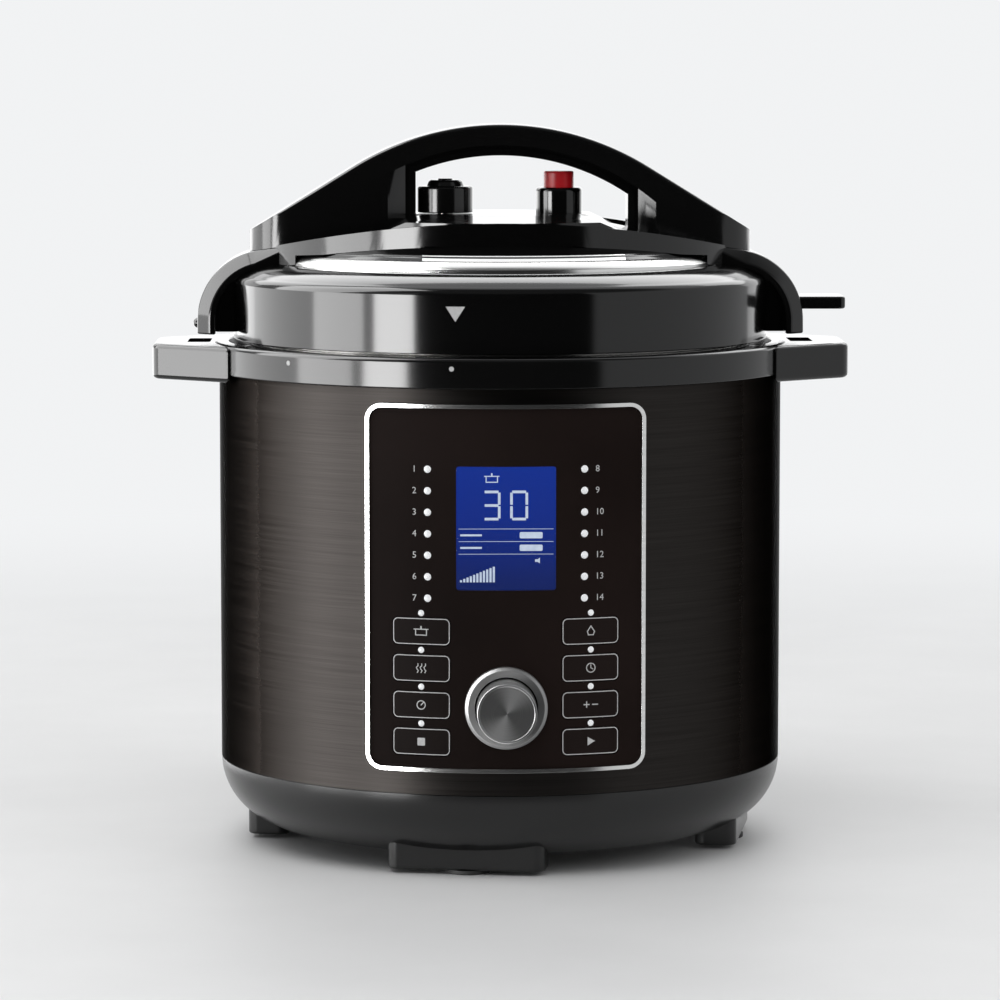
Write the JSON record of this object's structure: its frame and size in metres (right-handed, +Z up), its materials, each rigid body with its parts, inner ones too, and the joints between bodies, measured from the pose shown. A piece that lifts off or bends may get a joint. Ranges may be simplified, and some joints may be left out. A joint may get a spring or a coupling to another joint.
{
  "type": "electric pressure cooker",
  "caption": "Round countertop electric pressure cooker with an arch-handled bayonet lid, lift-out pot, steam and float valves, display panel, keys and a selector knob.",
  "frame": {"origin": "on the worktop, at the middle of the cooker's own axis", "axes": "+Z up along the cooker's axis, -Y out of the control panel, +X to the right as seen from the front"},
  "size_m": [0.3348, 0.3135, 0.346],
  "materials": {
    "steel_sleeve": "dark tinted steel with fine hairlines round the body",
    "rim_black": "high gloss black moulding",
    "bowl_black": "semi-gloss black moulding",
    "lid_black": "high gloss black moulding",
    "handle_black": "satin to gloss black moulding",
    "bright_trim": "bright plated",
    "knob_metal": "turned face, spun lines",
    "panel_film": "dark brown-black printed film",
    "key_film": "dark film with a pale printed outline",
    "lamp_white": "milky white lens",
    "display_glass": "blue lit display window",
    "display_blue": "blue lit display",
    "bare_steel": "bare stainless steel, fine brushed",
    "cast_heater": "cast, machined top",
    "fastener_steel": "plated",
    "silicone": "translucent white silicone",
    "foot_rubber": "black rubber",
    "float_red": "signal red moulding",
    "clear_plastic": "clear moulded cup",
    "circuit_green": "coated circuit board",
    "component_black": "moulded components"
  },
  "bodies": {
    "base": {"base_bowl": "bowl_black", "rubber_feet": "foot_rubber", "outer_housing": "steel_sleeve", "top_rim": "rim_black", "control_bezel": "bright_trim", "control_panel": "panel_film", "display_window": "display_glass", "display_module": "display_blue", "key_switches": "component_black", "indicator_lenses": "lamp_white", "knob_ring": "bright_trim", "encoder": "component_black", "control_board": "circuit_green", "outer_pot": "bare_steel", "heating_plate": "cast_heater", "sensor_guide": "cast_heater", "sensor_spring": "fastener_steel", "power_inlet": "bowl_black", "power_board": "circuit_green", "pressure_switch": "component_black", "thermal_fuse": "component_black", "collector_rail": "rim_black"},
    "knob": {"control_knob": "knob_metal", "knob_shaft": "fastener_steel"},
    "pot": {"inner_pot": "bare_steel"},
    "lid_seal": {"sealing_ring": "silicone"},
    "lid": {"lid_cover": "lid_black", "lid_trim_ring": "bright_trim", "lid_dome": "lid_black", "lid_arms": "lid_black", "lid_handle": "handle_black", "handle_screws": "fastener_steel", "lid_screws": "fastener_steel", "inner_lid_pan": "bare_steel", "seal_rack": "bare_steel", "steam_pipe": "bare_steel", "anti_block_shield": "bare_steel", "float_collar": "lid_black"},
    "steam_valve": {"steam_valve_knob": "handle_black"},
    "float": {"float_valve": "float_red", "float_gasket": "silicone"},
    "sensor": {"temperature_sensor": "cast_heater"},
    "collector": {"condensation_collector": "clear_plastic"},
    "key_left_1": {"key_left_1": "key_film"},
    "key_left_2": {"key_left_2": "key_film"},
    "key_left_3": {"key_left_3": "key_film"},
    "key_left_4": {"key_left_4": "key_film"},
    "key_right_1": {"key_right_1": "key_film"},
    "key_right_2": {"key_right_2": "key_film"},
    "key_right_3": {"key_right_3": "key_film"},
    "key_right_4": {"key_right_4": "key_film"}
  },
  "joints": [
    {"name": "pot_lift", "type": "slide", "parent": "base", "child": "pot", "axis": [0, 0, 1], "range_m": [0, 0.18]},
    {"name": "lid_lift", "type": "slide", "parent": "pot", "child": "lid_seal", "axis": [0, 0, 1], "range_m": [0, 0.15]},
    {"name": "lid_turn", "type": "hinge", "parent": "lid_seal", "child": "lid", "pos_m": [0, 0, 0.25], "axis": [0, 0, -1], "range_deg": [0, 36]},
    {"name": "steam_valve_turn", "type": "hinge", "parent": "lid", "child": "steam_valve", "pos_m": [-0.0265, 0, 0.31], "axis": [0, 0, 1], "range_deg": [0, 60]},
    {"name": "float_drop", "type": "slide", "parent": "lid", "child": "float", "axis": [0, 0, 1], "range_m": [-0.006, 0]},
    {"name": "knob_turn", "type": "hinge", "parent": "base", "child": "knob", "pos_m": [0, -0.15, 0.0815], "axis": [0, -1, 0], "continuous": true},
    {"name": "sensor_press", "type": "slide", "parent": "base", "child": "sensor", "axis": [0, 0, -1], "range_m": [0, 0.0025], "stiffness_N_per_m": 300, "deforming": ["sensor_spring"]},
    {"name": "collector_slide", "type": "slide", "parent": "base", "child": "collector", "axis": [0, 1, 0], "range_m": [0, 0.045]},
    {"name": "key_left_1_press", "type": "slide", "parent": "base", "child": "key_left_1", "axis": [0.2847, 0.9586, 0], "range_m": [0, 0.0006], "stiffness_N_per_m": 900},
    {"name": "key_left_2_press", "type": "slide", "parent": "base", "child": "key_left_2", "axis": [0.2847, 0.9586, 0], "range_m": [0, 0.0006], "stiffness_N_per_m": 900},
    {"name": "key_left_3_press", "type": "slide", "parent": "base", "child": "key_left_3", "axis": [0.2847, 0.9586, 0], "range_m": [0, 0.0006], "stiffness_N_per_m": 900},
    {"name": "key_left_4_press", "type": "slide", "parent": "base", "child": "key_left_4", "axis": [0.2847, 0.9586, 0], "range_m": [0, 0.0006], "stiffness_N_per_m": 900},
    {"name": "key_right_1_press", "type": "slide", "parent": "base", "child": "key_right_1", "axis": [-0.2847, 0.9586, 0], "range_m": [0, 0.0006], "stiffness_N_per_m": 900},
    {"name": "key_right_2_press", "type": "slide", "parent": "base", "child": "key_right_2", "axis": [-0.2847, 0.9586, 0], "range_m": [0, 0.0006], "stiffness_N_per_m": 900},
    {"name": "key_right_3_press", "type": "slide", "parent": "base", "child": "key_right_3", "axis": [-0.2847, 0.9586, 0], "range_m": [0, 0.0006], "stiffness_N_per_m": 900},
    {"name": "key_right_4_press", "type": "slide", "parent": "base", "child": "key_right_4", "axis": [-0.2847, 0.9586, 0], "range_m": [0, 0.0006], "stiffness_N_per_m": 900}
  ]
}
